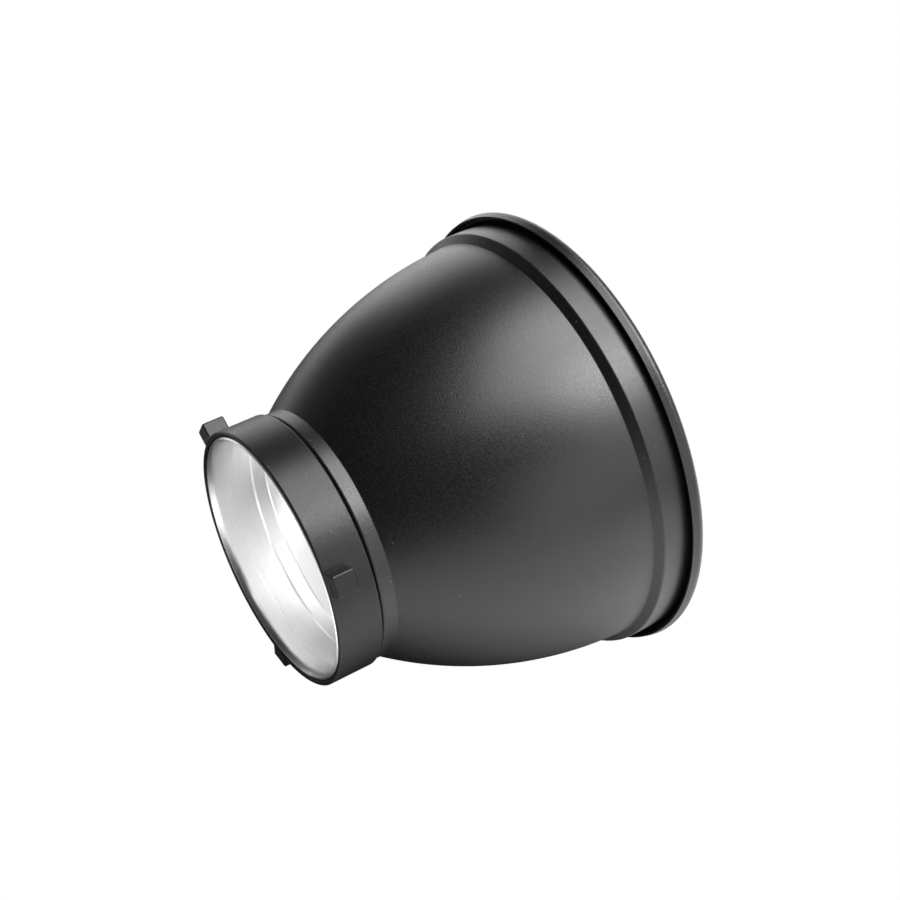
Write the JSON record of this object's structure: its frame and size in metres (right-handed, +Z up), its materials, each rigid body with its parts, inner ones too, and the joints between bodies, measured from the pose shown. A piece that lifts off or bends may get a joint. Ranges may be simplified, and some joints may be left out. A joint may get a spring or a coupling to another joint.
{
  "type": "studio flash reflector",
  "caption": "Spun metal reflector bowl for a studio flash head, black outside and satin silver inside, with a lugged bayonet collar at the rear and a rolled rim round a grid seat.",
  "frame": {"origin": "centre of the collar's rear face, where the reflector meets the flash head", "axes": "+Y along the optical axis towards the flash head, so the open front of the bowl faces -Y; +Z up, with one bayonet lug pointing straight down (-Z); +X to the right seen from the front"},
  "size_m": [0.1736, 0.1275, 0.1736],
  "materials": {
    "black_powder_coat": "fine-grained satin black powder coat over aluminium",
    "satin_aluminium": "satin silver, as on the inside of the bowl"
  },
  "bodies": {
    "root": {"reflector_bowl": "black_powder_coat", "bayonet_collar": "black_powder_coat", "bayonet_lug_1": "black_powder_coat", "bayonet_lug_2": "black_powder_coat", "bayonet_lug_3": "black_powder_coat", "lug_rivets": "satin_aluminium"}
  },
  "joints": []
}
